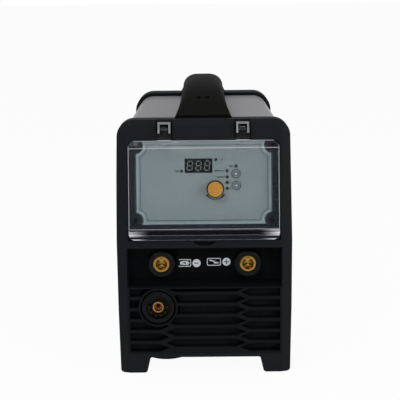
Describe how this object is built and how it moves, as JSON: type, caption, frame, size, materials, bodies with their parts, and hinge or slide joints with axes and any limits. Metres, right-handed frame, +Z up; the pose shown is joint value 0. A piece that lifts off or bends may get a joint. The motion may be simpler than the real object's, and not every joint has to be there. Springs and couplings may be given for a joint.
{
  "type": "plasma cutter unit",
  "caption": "Boxy inverter plasma cutter with a built-in air compressor: moulded front and rear frames, hinged clear control cover, cable sockets, slotted intake and a bridge carrying handle.",
  "frame": {"origin": "centre of the footprint at floor level", "axes": "+X across the front, to the right as seen from the front; +Y from front to rear; +Z up"},
  "size_m": [0.21, 0.4877, 0.3453],
  "materials": {
    "moulded_black": "fine grained moulded plastic",
    "sheet_paint": "light grey powder coat",
    "zinc_sheet": "zinc plated",
    "screw_black": "blackened",
    "handle_plastic": "soft satin",
    "panel_grey": "satin",
    "label_film": "printed film",
    "display_glass": "dark tinted",
    "clear_plastic": "clear moulded plastic, slightly smoked",
    "display_block": "plain",
    "circuit_board": "solder resist",
    "button_rubber": "satin",
    "knob_body": "satin",
    "knob_orange": "satin orange",
    "lamp_lens": "unlit",
    "socket_plastic": "satin",
    "socket_brass": "turned",
    "insulator_red": "moulded",
    "filter_foam": "open foam",
    "fan_plastic": "satin",
    "guard_wire": "bright plated",
    "switch_plastic": "satin",
    "rocker_plastic": "gloss",
    "turned_steel": "turned",
    "gland_nylon": "satin",
    "heat_sink_aluminium": "extruded or die cast",
    "transformer_wound": "varnished copper wire on a ferrite core",
    "capacitor_sleeve": "shrink sleeve",
    "motor_paint": "satin",
    "bush_rubber": "soft"
  },
  "bodies": {
    "housing": {"air_hose": "bush_rubber", "base_tray": "sheet_paint", "bus_capacitors": "capacitor_sleeve", "compressor_motor": "motor_paint", "compressor_mounts": "bush_rubber", "compressor_pump": "heat_sink_aluminium", "control_board": "circuit_board", "control_panel_plate": "panel_grey", "cover_screws": "screw_black", "display_module": "display_block", "display_window": "display_glass", "encoder_body": "turned_steel", "fan_frame": "fan_plastic", "fan_guard": "guard_wire", "fan_screws": "screw_black", "front_bezel": "moulded_black", "front_grille": "moulded_black", "gland_cap": "gland_nylon", "gland_nut": "gland_nylon", "handle_lower_shell": "handle_plastic", "handle_screws": "screw_black", "handle_shell": "handle_plastic", "heat_sinks": "heat_sink_aluminium", "hinge_brackets": "zinc_sheet", "hinge_pins": "zinc_sheet", "indicator_lamps": "lamp_lens", "intake_filter": "filter_foam", "key_switches": "turned_steel", "main_board": "circuit_board", "main_transformer": "transformer_wound", "mains_gland": "gland_nylon", "negative_socket_body": "socket_plastic", "negative_socket_contact": "socket_brass", "output_choke": "transformer_wound", "panel_label": "label_film", "panel_screws": "screw_black", "positive_socket_body": "socket_plastic", "positive_socket_contact": "socket_brass", "power_switch_frame": "switch_plastic", "power_switch_pin": "turned_steel", "rear_bezel": "moulded_black", "rear_panel": "sheet_paint", "shelf_plate": "zinc_sheet", "socket_nuts": "socket_brass", "socket_panel": "moulded_black", "top_cover": "sheet_paint", "torch_pins": "socket_brass", "torch_socket_body": "socket_plastic", "torch_socket_contact": "socket_brass", "torch_socket_insulator": "insulator_red"},
    "cover": {"clear_cover": "clear_plastic", "hinge_arms": "clear_plastic"},
    "knob": {"current_knob": "knob_body", "knob_cap": "knob_orange", "encoder_shaft": "turned_steel"},
    "mode_key": {"mode_button": "button_rubber"},
    "select_key": {"select_button": "button_rubber"},
    "fan": {"fan_rotor": "fan_plastic"},
    "rocker": {"power_switch_rocker": "rocker_plastic"},
    "cooling_fan": {"compressor_fan": "fan_plastic"}
  },
  "joints": [
    {"name": "cover_hinge", "type": "hinge", "parent": "housing", "child": "cover", "pos_m": [0, -0.22156, 0.29578], "axis": [-1, 0, 0], "range_deg": [0, 105]},
    {"name": "knob_turn", "type": "hinge", "parent": "housing", "child": "knob", "pos_m": [0.01365, -0.22964, 0.22391], "axis": [0, -0.9903, 0.1392], "continuous": true},
    {"name": "mode_button_press", "type": "slide", "parent": "housing", "child": "mode_key", "axis": [0, 0.9903, -0.1392], "range_m": [0, 0.0008], "stiffness_N_per_m": 300},
    {"name": "select_button_press", "type": "slide", "parent": "housing", "child": "select_key", "axis": [0, 0.9903, -0.1392], "range_m": [0, 0.0008], "stiffness_N_per_m": 300},
    {"name": "fan_spin", "type": "hinge", "parent": "housing", "child": "fan", "pos_m": [0, 0.19464, 0.2093], "axis": [0, 1, 0], "continuous": true},
    {"name": "rocker_tilt", "type": "hinge", "parent": "housing", "child": "rocker", "pos_m": [0.052, 0.21184, 0.0643], "axis": [1, 0, 0], "range_deg": [0, 24]},
    {"name": "compressor_fan_spin", "type": "hinge", "parent": "housing", "child": "cooling_fan", "pos_m": [0, 0.0795, 0.0833], "axis": [0, 1, 0], "continuous": true}
  ]
}
